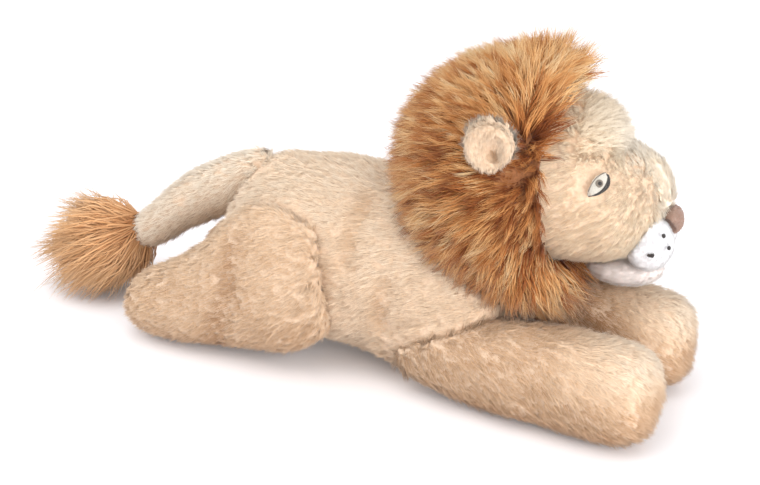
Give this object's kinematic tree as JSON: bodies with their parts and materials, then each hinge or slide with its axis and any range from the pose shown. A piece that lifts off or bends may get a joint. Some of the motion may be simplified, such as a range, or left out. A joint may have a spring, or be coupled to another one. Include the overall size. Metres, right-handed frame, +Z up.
{
  "type": "plush lion",
  "caption": "Lying plush lion with a long-pile mane, an outstretched pair of front legs, a turned head and a tufted tail.",
  "frame": {"origin": "middle of the flat on which the chest rests", "axes": "+X from the tail towards the head, +Y to the lion's left, +Z up"},
  "size_m": [0.3216, 0.1198, 0.1542],
  "materials": {
    "plush": "short-pile plush",
    "pale_plush": "short-pile plush",
    "white_plush": "short-pile plush",
    "chin_plush": "short-pile plush",
    "mane_pile": "long-pile plush",
    "tuft_pile": "long-pile plush",
    "nose_fabric": "brushed fabric",
    "eye_thread": "satin embroidery",
    "spot_thread": "satin embroidery",
    "filling": "polyester fibre"
  },
  "bodies": {
    "torso": {"body_skin": "plush", "body_filling": "filling"},
    "head": {"head_skin": "plush", "head_filling": "filling", "nose_bridge": "pale_plush", "lip_left": "white_plush", "lip_right": "white_plush", "chin": "chin_plush", "nose": "nose_fabric", "mane": "mane_pile", "eye_left": "eye_thread", "eye_right": "eye_thread", "whisker_spot_left_1": "spot_thread", "whisker_spot_left_2": "spot_thread", "whisker_spot_left_3": "spot_thread", "whisker_spot_right_1": "spot_thread", "whisker_spot_right_2": "spot_thread", "whisker_spot_right_3": "spot_thread"},
    "ear_left": {"ear_left": "plush", "ear_lining_left": "pale_plush"},
    "ear_right": {"ear_right": "plush", "ear_lining_right": "pale_plush"},
    "front_leg_left": {"front_leg_left": "plush", "front_leg_filling_left": "filling"},
    "front_leg_right": {"front_leg_right": "plush", "front_leg_filling_right": "filling"},
    "hind_leg_left": {"hind_leg_left": "plush", "hind_leg_filling_left": "filling"},
    "hind_leg_right": {"hind_leg_right": "plush", "hind_leg_filling_right": "filling"},
    "tail": {"tail_skin": "plush", "tail_filling": "filling", "tail_tuft": "tuft_pile"}
  },
  "joints": [
    {"name": "head_turn", "type": "hinge", "parent": "torso", "child": "head", "pos_m": [0.007, 0, 0.092], "axis": [0, 0, 1], "range_deg": [-15, 15], "stiffness_Nm_per_rad": 0.3},
    {"name": "ear_fold_left", "type": "hinge", "parent": "head", "child": "ear_left", "pos_m": [0.01804, 0.05697, 0.1215], "axis": [0.9703, 0.2419, 0], "range_deg": [-12, 12], "stiffness_Nm_per_rad": 0.02},
    {"name": "ear_fold_right", "type": "hinge", "parent": "head", "child": "ear_right", "pos_m": [0.0435, -0.04512, 0.1215], "axis": [0.9703, 0.2419, 0], "range_deg": [-12, 12], "stiffness_Nm_per_rad": 0.02},
    {"name": "front_leg_spread_left", "type": "hinge", "parent": "torso", "child": "front_leg_left", "pos_m": [-0.024, 0.0275, 0.0235], "axis": [0, 0, 1], "range_deg": [0, 20], "stiffness_Nm_per_rad": 0.3},
    {"name": "front_leg_spread_right", "type": "hinge", "parent": "torso", "child": "front_leg_right", "pos_m": [-0.02, -0.0275, 0.0235], "axis": [0, 0, -1], "range_deg": [0, 20], "stiffness_Nm_per_rad": 0.3},
    {"name": "hind_leg_spread_left", "type": "hinge", "parent": "torso", "child": "hind_leg_left", "pos_m": [-0.023, 0.034, 0.0425], "axis": [0, 0, -1], "range_deg": [0, 15], "stiffness_Nm_per_rad": 0.3},
    {"name": "hind_leg_spread_right", "type": "hinge", "parent": "torso", "child": "hind_leg_right", "pos_m": [-0.023, -0.034, 0.0425], "axis": [0, 0, 1], "range_deg": [0, 15], "stiffness_Nm_per_rad": 0.3},
    {"name": "tail_raise", "type": "hinge", "parent": "torso", "child": "tail", "pos_m": [-0.074, 0, 0.0865], "axis": [-0.0523, 0.9986, 0], "range_deg": [0, 30], "stiffness_Nm_per_rad": 0.15}
  ]
}
